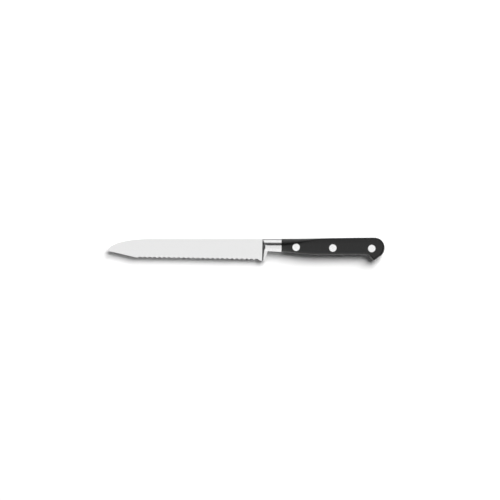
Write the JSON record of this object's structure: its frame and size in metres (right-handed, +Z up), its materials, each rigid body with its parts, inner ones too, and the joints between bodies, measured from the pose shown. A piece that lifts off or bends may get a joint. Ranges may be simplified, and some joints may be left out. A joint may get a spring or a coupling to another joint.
{
  "type": "vegetable knife",
  "caption": "Serrated vegetable knife with a forged bolster and guard, a full tang, and a black riveted handle with a beaked butt.",
  "frame": {"origin": "under the middle of the knife, on the surface that it lies on", "axes": "+X from the tip towards the butt, +Y from the cutting edge towards the spine, +Z up from the right flank to the left flank"},
  "size_m": [0.2148, 0.0182, 0.0116],
  "materials": {
    "steel": "satin blade, polished bolster",
    "handle": "satin black",
    "rivet": "polished"
  },
  "bodies": {
    "root": {"forged_blade": "steel", "left_scale": "handle", "right_scale": "handle", "front_rivet_sleeve": "rivet", "front_rivet_pin": "rivet", "middle_rivet_sleeve": "rivet", "middle_rivet_pin": "rivet", "rear_rivet_sleeve": "rivet", "rear_rivet_pin": "rivet"}
  },
  "joints": []
}
